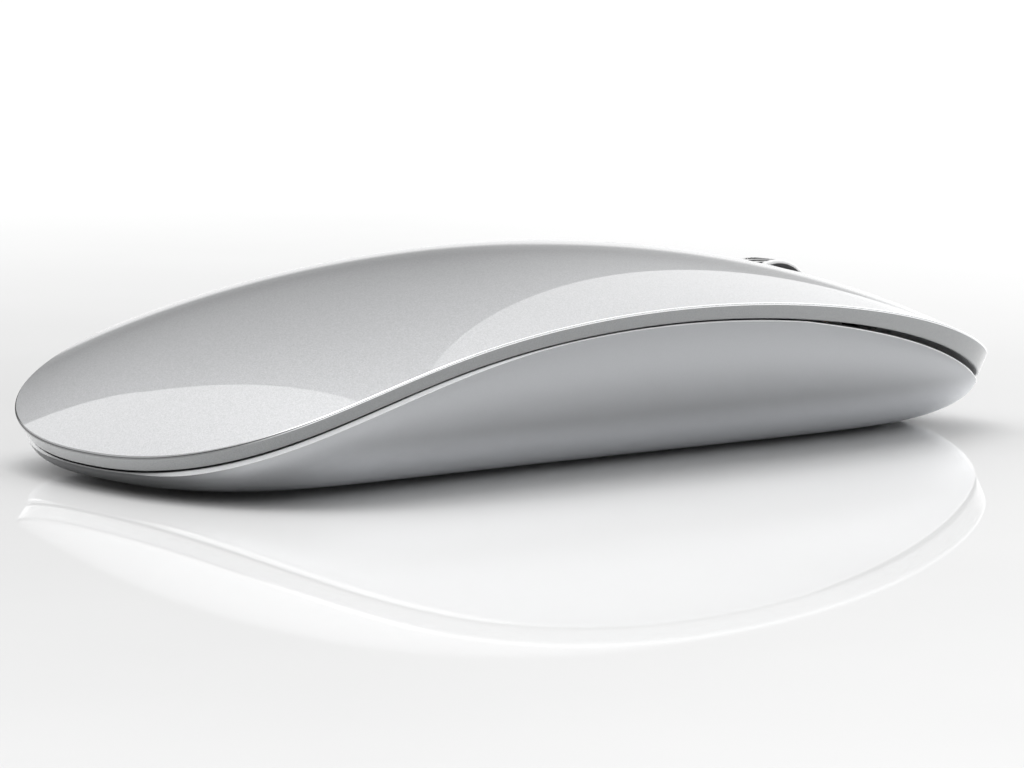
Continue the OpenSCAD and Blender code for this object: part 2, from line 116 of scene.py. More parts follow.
# The lower case's curves
LIP_STEP = 0.25 * MM
REST_GAP = 0.12 * MM
FRONT_GAP = 0.8 * MM
GAP_START_Y = 20 * MM
GAP_POWER = 0.65
BASE_SIZE = (27.7 * MM, 95.2 * MM)
BASE_Y = 4.4 * MM
BASE_POWER = 4.6
BOWL_POWERS = (1.9, 3.1, 1.5)


def bezier(values, t):
    """Bezier curve through its control values, at each t."""
    points = [np.full_like(t, v) for v in values]
    while len(points) > 1:
        points = [a * (1 - t) + b * t for a, b in zip(points, points[1:])]
    return points[0]


def along(y):
    return np.clip(y / LENGTH + 0.5, 0, 1)


def signed_power(v, e):
    return np.sign(v) * np.abs(v) ** e


def reach(y):
    return np.where(y > WIDEST_Y, FRONT_REACH, REAR_REACH)


def outline(angle, inset=0.0):
    """Points of the outline at angles from the right side, moved in by inset."""
    c, s = np.cos(angle), np.sin(angle)
    side = np.where(s > 0, FRONT_POWERS[0], REAR_POWERS[0])
    end = np.where(s > 0, FRONT_POWERS[1], REAR_POWERS[1])
    x = (WIDTH / 2 - inset) * signed_power(c, 2 / side)
    y = WIDEST_Y + (reach(WIDEST_Y + s) - inset) * signed_power(s, 2 / end)
    return np.stack([x, y], -1)


def outline_angle(y):
    """Angle at which the right half of the outline passes y."""
    end = np.where(y > WIDEST_Y, FRONT_POWERS[1], REAR_POWERS[1])
    share = np.clip(np.abs(y - WIDEST_Y) / reach(y), 0, 1)
    return np.sign(y - WIDEST_Y) * np.arcsin(share ** (end / 2))


def top_z(x, y):
    """Height of the cover's upper face."""
    t = along(y)
    return CROWN * bezier(CROWN_RISE, t) - bezier(SIDE_FALL, t) * np.abs(2 * x / WIDTH) ** SIDE_FALL_POWER


def edge_height(y):
    return bezier(EDGE_HEIGHT, along(y))


def under_z(x, y):
    """Height of the cover's under face: the upper face, drawn in by the slant of the band."""
    source_y = WIDEST_Y + (y - WIDEST_Y) / (1 - BAND_INSET / reach(y))
    source_x = x / (1 - 2 * BAND_INSET / WIDTH)
    return top_z(source_x, source_y) - edge_height(source_y)


def case_gap(y):
    """Gap between the cover and the lower case, which opens towards the front."""
    forward = np.clip((y - GAP_START_Y) / (LENGTH / 2 - GAP_START_Y), 0, 1)
    return REST_GAP + (FRONT_GAP - REST_GAP) * forward**GAP_POWER


def band_z(angle):
    x, y = np.moveaxis(outline(angle), -1, 0)
    return top_z(x, y) - edge_height(y)


def lip_z(angle):
    return band_z(angle) - case_gap(outline(angle)[..., 1])


# ---- Mesh helpers ----


TINY = 1e-20


def unit(v):
    return v / np.maximum(np.linalg.norm(v, axis=-1, keepdims=True), TINY)


def add_mesh(name, points, faces, kinds=None):
    """A new object; kinds are the material slots of its faces."""
    mesh = bpy.data.meshes.new(name)
    mesh.from_pydata([tuple(p) for p in points], [], [tuple(f) for f in faces])
    if kinds is not None:
        mesh.polygons.foreach_set("material_index", kinds)
    mesh.update()
    obj = bpy.data.objects.new(name, mesh)
    bpy.context.scene.collection.objects.link(obj)
    return obj


def ring_faces(rings, points, closed_rings=False, closed_points=True):
    """Quads between rings of points; they face outwards when rings climb and points run anticlockwise."""
    faces = []
    for i in range(rings if closed_rings else rings - 1):
        for j in range(points if closed_points else points - 1):
            i1, j1 = (i + 1) % rings, (j + 1) % points
            faces.append((i * points + j, i * points + j1, i1 * points + j1, i1 * points + j))
    return faces


def weld(obj, distance=1e-7):
    bm = bmesh.new()
    bm.from_mesh(obj.data)
    bmesh.ops.remove_doubles(bm, verts=bm.verts, dist=distance)
    bm.to_mesh(obj.data)
    bm.free()


def smooth_by_angle(obj, degrees=35):
    obj.data.shade_smooth()
    obj.data.set_sharp_from_angle(angle=math.radians(degrees))


def shade_with(obj, vertex_normals, flat_faces):
    """Shades each face by the normals given, apart from the flat faces, which keep their own."""
    mesh = obj.data
    loops = np.empty(len(mesh.loops), int)
    mesh.loops.foreach_get("vertex_index", loops)
    normals = vertex_normals[loops]
    for polygon in mesh.polygons:
        if polygon.index in flat_faces:
            normals[list(polygon.loop_indices)] = polygon.normal
    mesh.shade_smooth()
    mesh.normals_split_custom_set([tuple(n) for n in normals])


# ---- Cover ----

TOP, EDGE, BAND, INSIDE = range(4)
EDGE_R = 0.22 * MM
SLOT_R = 0.15 * MM
CORNER_STEPS = 6
BAND_STEPS = 4
TOP_STEPS = 44
REAR_COLUMNS = 120
FRONT_COLUMNS = 150
REAR_FAN_Y = -50 * MM
FRONT_FAN_Y = 47 * MM
OUTLINE_SAMPLES = 4001
SLOPE_STEP = 0.02 * MM
# A button's columns are closer together beside the wheel slot: key columns and their places on the edge
BUTTON_KEYS = (0, 45, 62, 82, 99, FRONT_COLUMNS)
BUTTON_EDGE_Y = (SPLIT_Y, 31 * MM, 33.5 * MM, 43 * MM, 46 * MM)
# The palm's columns are closer together round the tail
TAIL_COLUMNS = 0.35 * REAR_COLUMNS
TAIL_EDGE_Y = -45 * MM
TAIL_INNER_Y = -38 * MM


def path_length(path):
    return np.concatenate([[0], np.cumsum(np.linalg.norm(np.diff(path, axis=0), axis=1))])


def at_lengths(path, values, lengths):
    """Values given at a path's points, read at lengths along it."""
    total = path_length(path)
    return np.stack([np.interp(lengths, total, values[:, k]) for k in range(values.shape[1])], -1)


def right_side(path):
    """Unit vectors to the right of a path, seen from above."""
    tangent = unit(np.gradient(path, axis=0))
    return np.stack([tangent[:, 1], -tangent[:, 0]], -1)


def slot_path():
    """The right side of the slit and the wheel slot, from the split forwards."""
    slit, side = SLIT_W / 2, SLOT_SIZE[0] / 2
    rear, front = SLOT_Y - SLOT_SIZE[1] / 2, SLOT_Y + SLOT_SIZE[1] / 2
    turn = np.linspace(0, math.pi / 2, 9)
    out, off = SLOT_CORNER * (1 - np.sin(turn)), SLOT_CORNER * (1 - np.cos(turn))
    return np.concatenate([
        [(slit, SPLIT_Y), (slit, rear)],
        np.stack([side - out, rear + off], -1),
        np.stack([side - off, front - out], -1),
        [(slit, front), (slit, FRONT_FAN_Y)],
    ])


def surface_normal(height, xy):
    x, y, h = xy[..., 0], xy[..., 1], SLOPE_STEP
    dx = (height(x + h, y) - height(x - h, y)) / (2 * h)
    dy = (height(x, y + h) - height(x, y - h)) / (2 * h)
    return unit(np.stack([-dx, -dy, np.ones_like(dx)], -1))


def on(height, xy):
    """Points of a height function above a plan."""
    return np.concatenate([xy, height(xy[..., 0], xy[..., 1])[..., None]], -1)


def edge_sections(path, outward, low_xy, radius):
    """Wall below a path, with a round corner at the upper and at the under face."""
    corner, low = on(top_z, path), on(under_z, low_xy)
    down = unit(low - corner)
    t = np.linspace(0, 1, CORNER_STEPS)[None, :, None]

    def corner_curve(a, b, c):
        return (1 - t) ** 2 * a[:, None] + 2 * t * (1 - t) * b[:, None] + t**2 * c[:, None]

    upper = corner_curve(on(top_z, path - outward * radius), corner, corner + down * radius)
    lower = corner_curve(low - down * radius, low, on(under_z, low_xy - outward * radius))
    s = np.linspace(0, 1, BAND_STEPS + 1)[None, 1:-1, None]
    wall = upper[:, -1:] * (1 - s) + lower[:, :1] * s
    return np.concatenate([upper, wall, lower], 1)


def section_normals(sections):
    return unit(np.cross(np.gradient(sections, axis=1), np.gradient(sections, axis=0)))


def eased_points(a, b, steps):
    """Points from a to b, somewhat closer together at both ends."""
    t = np.linspace(0, 1, steps)
    t = (t + (1 - np.cos(math.pi * t)) / 2)[None, :, None] / 2
    return a[:, None] * (1 - t) + b[:, None] * t


def patch(outer, outward, inner, gap_side=None):
    """Columns of a right-hand patch: over the top, down the edge, back below and up the slot's wall."""
    start = inner if gap_side is None else inner - gap_side * SLOT_R
    kx = 1 - 2 * BAND_INSET / WIDTH
    ky = 1 - BAND_INSET / reach(outer[:, 1])
    low = np.stack([outer[:, 0] * kx, WIDEST_Y + (outer[:, 1] - WIDEST_Y) * ky], -1)
    over = eased_points(start, outer - outward * EDGE_R, TOP_STEPS)
    below = eased_points(low - outward * EDGE_R, start, TOP_STEPS)
    edge = edge_sections(outer, outward, low, EDGE_R)
    rings = [on(top_z, over), edge[:, 1:-1], on(under_z, below)]
    normals = [
        surface_normal(top_z, over),
        section_normals(edge)[:, 1:-1],
        -surface_normal(under_z, below),
    ]
    kinds = [TOP] * (TOP_STEPS - 1) + [EDGE] * (CORNER_STEPS - 1)
    kinds += [BAND] * (edge.shape[1] - CORNER_STEPS) + [INSIDE] * (TOP_STEPS - 1)
    if gap_side is not None:
        wall = edge_sections(inner, gap_side, inner, SLOT_R)
        rings.append(wall[:, ::-1][:, 1:-1])
        normals.append(-section_normals(wall)[:, ::-1][:, 1:-1])
        kinds += [TOP] * (wall.shape[1] - 1)
    return np.concatenate(rings, 1), np.concatenate(normals, 1), kinds


def cover_object(name, sides, rings, normals, kinds, capped_rings):
    """A welded mesh of a patch: the right-hand one, its mirror image or both."""
    n, m = rings.shape[:2]
    faces = ring_faces(n, m, closed_points=len(kinds) == m)
    for ring in capped_rings:
        cap = list(range(ring * m, (ring + 1) * m))
        faces.append(cap if ring else cap[::-1])
    kinds = kinds * (n - 1) + [INSIDE] * len(capped_rings)
    points, shade = rings.reshape(-1, 3), normals.reshape(-1, 3)
    flip = np.array([-1, 1, 1])
    all_points, all_normals, all_faces, all_kinds = [], [], [], []
    for side in sides:
        start = sum(len(p) for p in all_points)
        all_points.append(points * (flip if side < 0 else 1))
        all_normals.append(shade * (flip if side < 0 else 1))
        all_faces += [[start + v for v in (f[::-1] if side < 0 else f)] for f in faces]
        all_kinds += kinds
    obj = add_mesh(name, np.concatenate(all_points), all_faces, all_kinds)
    attribute = obj.data.attributes.new("cover_normal", "FLOAT_VECTOR", "POINT")
    attribute.data.foreach_set("vector", np.concatenate(all_normals).astype(np.float32).ravel())
    weld(obj)
    stored = obj.data.attributes["cover_normal"]
    shade = np.empty(len(obj.data.vertices) * 3, np.float32)
    stored.data.foreach_get("vector", shade)
    caps = {p.index for p in obj.data.polygons if len(p.vertices) > 4}
    shade_with(obj, unit(shade.reshape(-1, 3).astype(float)), caps)
    obj.data.attributes.remove(obj.data.attributes["cover_normal"])
    return obj


def cover_columns():
    """Where the patches' columns start and end: the palm's from the rear tip, then the buttons'."""
    edge = outline(outline_angle(-LENGTH / 2 * np.cos(np.linspace(0, math.pi, OUTLINE_SAMPLES))))
    outward = right_side(edge)
    edge_length = path_length(edge)

    def edge_at(y):
        return np.interp(y, edge[:, 1], edge_length)

    column = np.arange(REAR_COLUMNS + 1)
    keys = [0, TAIL_COLUMNS, REAR_COLUMNS]
    rear_edge = np.interp(column, keys, [0, edge_at(TAIL_EDGE_Y), edge_at(SPLIT_Y)])
    rear_y = np.interp(column, keys, [REAR_FAN_Y, TAIL_INNER_Y, SPLIT_Y])
    rear_inner = np.stack([np.zeros_like(rear_y), rear_y], -1)

    slot = slot_path()
    gap_side = -right_side(slot)
    slot_length = path_length(slot)
    corner = (SLOT_SIZE[0] - SLIT_W) / 2
    tip = edge_length[-1] - SLIT_W / 2 - SLOT_R
    edge_keys = [edge_at(y) for y in BUTTON_EDGE_Y] + [tip]
    rear, front = slot_length[1], slot_length[-2]
    slot_keys = [0, rear, rear + corner, front - corner, front, slot_length[-1]]
    column = np.arange(FRONT_COLUMNS + 1)
    front_edge = np.interp(column, BUTTON_KEYS, edge_keys)
    front_slot = np.interp(column, BUTTON_KEYS, slot_keys)
    palm = [at_lengths(edge, values, rear_edge) for values in (edge, outward)] + [rear_inner]
    button = [at_lengths(edge, values, front_edge) for values in (edge, outward)]
    return palm, button + [at_lengths(slot, values, front_slot) for values in (slot, gap_side)]


palm_columns, button_columns = cover_columns()
palm_skin = cover_object("palm_skin", (1, -1), *patch(*palm_columns), capped_rings=[REAR_COLUMNS])
button_patch = patch(*button_columns)
button_skins = {
    side: cover_object(side + "_button_skin", (sign,), *button_patch, capped_rings=[0, FRONT_COLUMNS])
    for side, sign in (("left", -1), ("right", 1))
}


TUBE_BEVEL = 0.15 * MM


def tube(name, x, y, radius, bore, low, high, steps=48):
    """Upright round post, hollow where bore is above zero."""
    turn = np.linspace(0, 2 * math.pi, steps, endpoint=False)
    circle = np.stack([np.cos(turn), np.sin(turn)], -1)

    def ring(r, z):
        return [(x + r * c, y + r * s, z) for c, s in circle]

    rings = [ring(radius, low), ring(radius, high - TUBE_BEVEL), ring(radius - TUBE_BEVEL, high)]
    if bore > 0:
        rings += [ring(bore, high), ring(bore, low)]
        obj = add_mesh(name, sum(rings, []), ring_faces(len(rings), steps, closed_rings=True))
    else:
        faces = ring_faces(len(rings), steps)
        top = (len(rings) - 1) * steps
        faces += [list(range(steps))[::-1], list(range(top, top + steps))]
        obj = add_mesh(name, sum(rings, []), faces)
    smooth_by_angle(obj)
    return obj


# ---- Lower case and inner frame ----

CASE_COLUMNS = 130
CASE_RINGS = 44
LIP_PROUD = 0.08 * MM
LIP_HIGH, LIP_LOW = 0.55 * MM, 0.15 * MM
LIP_RISE_Y = (-12 * MM, -38 * MM)
LIP_RISE_X = (4 * MM, 17 * MM)
# Section of the lip from its foot to its top: share of LIP_PROUD outwards, share of its height down
LIP_SECTION = ((0.6, 0.95), (1, 0.8), (1, 0.35), (0.7, 0.1), (0, 0))
SHELL, LIP = 0, 1


def round_angles(n):
    right = outline_angle(-LENGTH / 2 * np.cos(math.pi * (np.arange(n) + 0.5) / n))
    return np.concatenate([right, math.pi - right[::-1]])


def base_outline(angle, inset):
    x = (BASE_SIZE[0] / 2 - inset) * signed_power(np.cos(angle), 2 / BASE_POWER)
    y = BASE_Y + (BASE_SIZE[1] / 2 - inset) * signed_power(np.sin(angle), 2 / BASE_POWER)
    return np.stack([x, y], -1)


def bowl_power(angle):
    end_power = np.where(np.sin(angle) > 0, BOWL_POWERS[2], BOWL_POWERS[1])
    return BOWL_POWERS[0] * np.cos(angle) ** 2 + end_power * np.sin(angle) ** 2


def bowl_ring(angle, rise, inset):
    """Ring of the bowl, with rise running from 0 at the flat base to a right angle at the lip."""
    rim, base = outline(angle, BAND_INSET + LIP_STEP + inset), base_outline(angle, inset)
    xy = base + (rim - base) * (np.sin(rise) ** (2 / bowl_power(angle)))[:, None]
    z = BASE_Z + inset + (lip_z(angle) - BASE_Z - inset) * (1 - np.cos(rise) ** (2 / bowl_power(angle)))
    return np.concatenate([xy, z[:, None]], -1)


def smoothstep(value, start, end):
    share = np.clip((value - start) / (end - start), 0, 1)
    return share * share * (3 - 2 * share)


def lip_height(angle):
    """The lip is low in front and across the tail, and high at the two rear corners."""
    rim = outline(angle)
    rise = smoothstep(rim[:, 1], *LIP_RISE_Y) * smoothstep(abs(rim[:, 0]), *LIP_RISE_X)
    return LIP_LOW + (LIP_HIGH - LIP_LOW) * rise


def lip_ring(angle, proud, down):
    """Ring of the glossy bead round the top of the lower case, painted pale as a highlight; down runs
    from 0 at its top to 1.
    """
    rim = outline(angle, BAND_INSET + LIP_STEP - proud * LIP_PROUD)
    return np.concatenate([rim, (lip_z(angle) - down * lip_height(angle))[:, None]], -1)


def lower_case_shell():
    angle = round_angles(CASE_COLUMNS)
    share = lip_height(angle) / (lip_z(angle) - BASE_Z)
    top_rise = np.arccos(share ** (bowl_power(angle) / 2))
    outside = [bowl_ring(angle, top_rise * i / (CASE_RINGS - 1), 0) for i in range(CASE_RINGS)]
    bead = [lip_ring(angle, proud, down) for proud, down in LIP_SECTION]
    inside = [bowl_ring(angle, np.full_like(angle, math.pi / 2 * i / (CASE_RINGS - 1)), WALL)
              for i in reversed(range(CASE_RINGS))]
    rings = outside + bead + inside
    points = 2 * CASE_COLUMNS
    faces = ring_faces(len(rings), points)
    kinds = [SHELL] * (CASE_RINGS - 1) + [LIP] * len(bead) + [SHELL] * CASE_RINGS
    last = (len(rings) - 1) * points
    faces += [list(range(points))[::-1], list(range(last, last + points))]
    kinds = np.repeat(kinds, points).tolist() + [SHELL, SHELL]
    obj = add_mesh("case_shell", np.concatenate(rings), faces, kinds)
    for _ in (SHELL, LIP):
        obj.data.materials.append(None)
    return obj


def prism(name, shapes):
    """Upright prisms, each from an outline that runs anticlockwise, a lower and an upper height."""
    points, faces = [], []
    for shape, low, high in shapes:
        start, n = len(points), len(shape)
        points += [(x, y, z) for z in (low, high) for x, y in shape]
        faces += [[start + v for v in f] for f in ring_faces(2, n)]
        faces += [list(range(start, start + n))[::-1], list(range(start + n, start + 2 * n))]
    return add_mesh(name, points, faces)


def circle(x, y, radius, steps=48):
    turn = [2 * math.pi * i / steps for i in range(steps)]
    return [(x + radius * math.cos(a), y + radius * math.sin(a)) for a in turn]


def rounded_box(x0, x1, y0, y1, radius, steps=8):
    """Outline of a rectangle with round corners."""
    corners = [(x1 - radius, y1 - radius), (x0 + radius, y1 - radius),
               (x0 + radius, y0 + radius), (x1 - radius, y0 + radius)]
    turns = [math.pi / 2 * (q + i / steps) for q in range(4) for i in range(steps + 1)]
    return [(corners[i // (steps + 1)][0] + radius * math.cos(a),
             corners[i // (steps + 1)][1] + radius * math.sin(a)) for i, a in enumerate(turns)]


def combine(obj, other, operation):
    """Boolean of two meshes, worked out at once; the second is used up."""
    modifier = obj.modifiers.new("combine", "BOOLEAN")
    modifier.operation = operation
    modifier.solver = "EXACT"
    modifier.object = other
    graph = bpy.context.evaluated_depsgraph_get()
    mesh = bpy.data.meshes.new_from_object(obj.evaluated_get(graph))
    obj.modifiers.remove(modifier)
    obj.data = mesh
    bpy.data.objects.remove(other)


def ends_of(node):
    """Centres of a node's left and right halves, for nodes made of two equal pieces."""
    low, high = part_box(node)
    size_x = SCREW_HEAD_R * 2 if node == "case_screws" else GLIDE_W
    y = (low.y + high.y) / 2
    return (low.x + size_x / 2, y), (high.x - size_x / 2, y)


SCREW_HEAD_R = 1.7 * MM
SCREW_R = 1 * MM
HEAD_GAP = 0.1 * MM
SCREW_GAP = 0.15 * MM
HEAD_BORE = (0.2 * MM, 1.9 * MM)
SCREW_BORE = (1.5 * MM, 5 * MM)
GLIDE_W = 3.6 * MM
GLIDE_GAP = 0.15 * MM
POCKET_GAP = 0.2 * MM
POCKET_WALL = 0.8 * MM
POCKET_WALL_Z = 1.2 * MM
POCKET_TOP_Z = 6.8 * MM
DOOR_GAP = 0.2 * MM
DOOR_PIN_L = 1.4 * MM
PIN_HOLE_R = 0.45 * MM
PIN_STEPS = 24
SENSOR_HOLE_R = 3.4 * MM
POWER_HOLE = (6.8 * MM, 3.2 * MM)
BOSS_Z = 1 * MM
BOSS_TOP_Z = 3.6 * MM
BOSS_R = 2.8 * MM
COVER_BOSS_R = 2.4 * MM
COVER_BOSS_GAP = 0.1 * MM
FLOOR_Z = BASE_Z + WALL
ABOVE_FLOOR_Z = FLOOR_Z + 0.2 * MM
BELOW = -1 * MM
CORNER_R = 0.4 * MM
SMALLER = 0.01 * MM

pocket = (plug_low.x - POCKET_GAP, receiver_high.x + POCKET_GAP,
          receiver_low.y - POCKET_GAP, receiver_high.y + POCKET_GAP)
screw_places = ends_of("case_screws")


def case_additions():
    """Walls of the receiver's pocket and bosses of the case screws."""
    outer = [v + s * POCKET_WALL for v, s in zip(pocket, (-1, 1, -1, 1))]
    shapes = [(rounded_box(*outer, CORNER_R), POCKET_WALL_Z, POCKET_TOP_Z)]
    shapes += [(circle(*p, BOSS_R), BOSS_Z, BOSS_TOP_Z) for p in screw_places]
    return prism("case_additions", shapes)


def case_openings():
    """Receiver pocket, door opening, sensor window, power slot and glide recesses."""
    door = (door_low.x + DOOR_PIN_L - DOOR_GAP, door_high.x - DOOR_PIN_L + DOOR_GAP,
            door_low.y - DOOR_GAP, door_high.y + DOOR_GAP)
    half_x, half_y, power_y = POWER_HOLE[0] / 2, POWER_HOLE[1] / 2, (slider_low.y + slider_high.y) / 2
    power = (-half_x, half_x, power_y - half_y, power_y + half_y)
    glide = (front_glide_low.x - GLIDE_GAP, front_glide_high.x + GLIDE_GAP,
             front_glide_low.y - GLIDE_GAP, front_glide_high.y + GLIDE_GAP)
    shapes = [
        (rounded_box(*pocket, CORNER_R), BELOW, 2 * POCKET_TOP_Z),
        (rounded_box(*door, CORNER_R), BELOW, ABOVE_FLOOR_Z),
        (circle(0, (lens_low.y + lens_high.y) / 2, SENSOR_HOLE_R), BELOW, ABOVE_FLOOR_Z),
        (rounded_box(*power, CORNER_R), BELOW, ABOVE_FLOOR_Z),
        (rounded_box(*glide, (glide[3] - glide[2]) / 2 - SMALLER), BELOW, front_glide_high.z),
    ]
    for x, y in ends_of("rear_glides"):
        half_y = (rear_glides_high.y - rear_glides_low.y) / 2 + GLIDE_GAP
        sides = (x - GLIDE_W / 2 - GLIDE_GAP, x + GLIDE_W / 2 + GLIDE_GAP)
        shapes.append((rounded_box(*sides, y - half_y, y + half_y, CORNER_R), BELOW, rear_glides_high.z))
    return prism("case_openings", shapes)


def screw_holes():
    shapes = [(circle(*p, SCREW_HEAD_R + HEAD_GAP), *HEAD_BORE) for p in screw_places]
    shapes += [(circle(*p, SCREW_R + SCREW_GAP), *SCREW_BORE) for p in screw_places]
    return prism("screw_holes", shapes)


def pin_holes():
    """Round holes for the door's hinge pins, across the front of the door opening."""
    y, z = door_high.y - (door_high.z - door_low.z) / 2, (door_low.z + door_high.z) / 2
    turned = circle(y, z, PIN_HOLE_R, PIN_STEPS)
    half = door_high.x + DOOR_GAP
    points = [(x, py, pz) for x in (-half, half) for py, pz in turned]
    faces = ring_faces(2, PIN_STEPS)
    faces += [list(range(PIN_STEPS))[::-1], list(range(PIN_STEPS, 2 * PIN_STEPS))]
    return add_mesh("pin_holes", points, faces)


case_skin = lower_case_shell()
combine(case_skin, case_additions(), "UNION")
combine(case_skin, case_openings(), "DIFFERENCE")
combine(case_skin, screw_holes(), "DIFFERENCE")
combine(case_skin, pin_holes(), "DIFFERENCE")
case_skin.name = "case_skin"
smooth_by_angle(case_skin)


FRAME_GAP = 0.4 * MM
FRAME_WALL = 1 * MM
FRAME_DROP = 0.9 * MM
FRAME_END_LIFT = 0.65 * MM
FRAME_END_POWER = 8
FRAME_LAP = 0.05 * MM
BOARD_SCREWS_AT = ((-17, 19.7), (17, 19.7), (-10.5, 46), (10.5, 46))
BOARD_POST_R = 1.9 * MM
BOARD_BORE_R = 0.85 * MM
BOARD_Z = 5.6 * MM
PLAY = 0.05 * MM
BOSS_LAP = 0.3 * MM
RIB_LAP = 0.5 * MM
RIB_HALF = 1.5 * MM
RIB_CORNER_R = 0.3 * MM


def frame_skin():
    """The dark frame below the cover: a ring with a square section."""
    angle = round_angles(CASE_COLUMNS)
    inset = BAND_INSET + LIP_STEP + WALL + FRAME_GAP
    outer, inner = outline(angle, inset), outline(angle, inset + FRAME_WALL)
    end = np.abs(2 * outline(angle)[:, 1] / LENGTH) ** FRAME_END_POWER
    low = lip_z(angle) - FRAME_DROP + FRAME_END_LIFT * end
    high = band_z(angle) + FRAME_LAP
    rings = [np.concatenate([xy, z[:, None]], -1)
             for xy, z in ((outer, low), (outer, high), (inner, high), (inner, low))]
    obj = add_mesh("frame_skin", np.concatenate(rings), ring_faces(4, len(angle), closed_rings=True))
    smooth_by_angle(obj)
    return obj


inner_frame = frame_skin()
board_posts = []
for index, (x, y) in enumerate(BOARD_SCREWS_AT):
    name = "board_post_" + str(index)
    board_posts.append(tube(name, x * MM, y * MM, BOARD_POST_R, BOARD_BORE_R, FLOOR_Z, BOARD_Z))
cover_bosses = []
for side, (x, y) in zip(("left", "right"), screw_places):
    low, high = BOSS_TOP_Z + COVER_BOSS_GAP, under_z(np.array(x), np.array(y)) + BOSS_LAP
    cover_bosses.append(tube(side + "_cover_boss", x, y, COVER_BOSS_R, SCREW_R + PLAY, low, high))


def button_rib(side, sign):
    """Rib under a button that pushes its switch."""
    x = sign * (switch_low.x + switch_high.x) / 2
    y = (switch_low.y + switch_high.y) / 2
    high = under_z(np.array(x), np.array(y)) + RIB_LAP
    shape = rounded_box(x - RIB_HALF, x + RIB_HALF, y - RIB_HALF, y + RIB_HALF, RIB_CORNER_R)
    rib = prism(side + "_button_rib", [(shape, switch_high.z + PLAY, high)])
    smooth_by_angle(rib)
    return rib


button_ribs = {"left": button_rib("left", -1), "right": button_rib("right", 1)}

# ---- Wheel ----

RIBS = 40
RIB_STEPS = 10
RIB_DEPTH = 0.35 * MM
# How many ribs the slant spans across the tyre, and how steep the walls of a groove are
RIB_SLANT = 1.9
RIB_STEEPNESS = 1.6
TREAD, GROOVE, SIDE = range(3)
GROOVE_DEPTH = 0.35
SIDE_DEPTH = 0.7 * MM
TREAD_HALF = 1.75 * MM
TREAD_STEPS = 7
TREAD_END = 0.12 * MM
TYRE_T = 0.8 * MM
SHOULDER_R = 0.4 * MM
SHOULDER_STEPS = 6
TREAD_SHARP = 40  # degrees


def tyre_profile():
    """Half of the tyre's section from its inner edge to the middle: across, radius, share of groove."""
    middle_x, middle_r = TYRE_W / 2 - SHOULDER_R, TYRE_R - SHOULDER_R
    turn = np.linspace(0, math.pi / 2, SHOULDER_STEPS)
    shoulder = [(middle_x + SHOULDER_R * math.cos(a), middle_r + SHOULDER_R * math.sin(a), 0)
                for a in turn]
    inner = [(TYRE_W / 2, TYRE_R - TYRE_T, 0)]
    tread = [(TREAD_HALF + TREAD_END, TYRE_R, 0), (TREAD_HALF, TYRE_R, 1)]
    tread += [(TREAD_HALF * (1 - i / TREAD_STEPS), TYRE_R, 1) for i in range(1, TREAD_STEPS + 1)]
    return inner + shoulder + tread


def wheel_tread():
    """The tyre, with slanting grooves cut into its tread; the grooves and the flat sides are dark."""
    right = tyre_profile()
    profile = right + [(-x, r, share) for x, r, share in right[-2::-1]]
    steps = RIBS * RIB_STEPS
    turn = np.linspace(0, 2 * math.pi, steps, endpoint=False)
    groove = np.clip(0.5 - RIB_STEEPNESS * np.cos(turn * RIBS), 0, 1)
    rings, depths = [], []
    for x, r, share in profile:
        slanted = turn - RIB_SLANT * 2 * math.pi * x / TYRE_W / RIBS
        radius = r - RIB_DEPTH * share * groove
        along_y, along_z = radius * np.cos(slanted), radius * np.sin(slanted)
        rings.append(np.stack([np.full(steps, x), TYRE_CENTRE.y + along_y, TYRE_CENTRE.z + along_z], -1))
        depths.append(share * groove)
    depths = np.concatenate(depths)
    points = np.concatenate(rings)
    radii = np.hypot(points[:, 1] - TYRE_CENTRE.y, points[:, 2] - TYRE_CENTRE.z)
    faces = [list(f[::-1]) for f in ring_faces(len(profile), steps, closed_rings=True)]
    kinds = [SIDE if radii[f].min() < TYRE_R - SIDE_DEPTH
             else GROOVE if depths[f].mean() > GROOVE_DEPTH
             else TREAD for f in faces]
    obj = add_mesh("wheel_tread", points, faces, kinds)
    smooth_by_angle(obj, TREAD_SHARP)
    return obj


tread = wheel_tread()

# ---- Which body each piece rides on, and what it stands for ----


def place(obj, body, slot, *replaced):
    """Let a piece ride on a body and hide the CAD nodes it replaces; the slot is not used."""
    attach(obj, body)
    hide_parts(*replaced)


place(palm_skin, "root", "cover_silver", "palm_cover")
place(case_skin, "root", "case_satin", "lower_case")
place(inner_frame, "root", "frame_dark", "inner_frame")
place(tread, "wheel_body", "tread_silver", "wheel_tyre")
for obj in cover_bosses:
    place(obj, "root", "cover_silver", "palm_cover")
for obj in board_posts:
    place(obj, "root", "case_satin", "lower_case")
for side, obj in button_skins.items():
    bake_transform(obj)
    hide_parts(side + "_button")
    place(button_ribs[side], side + "_button_body", "cover_silver", side + "_button")

# ---- Materials ----


def fill_ramp(node, stops):
    """Give a colour ramp its stops: places from 0 to 1, each with a colour."""
    elements = node.color_ramp.elements
    while len(elements) < len(stops):
        elements.new(0.5)
    for element, (position, colour) in zip(elements, stops):
        element.position = position
        element.color = (*colour, 1)


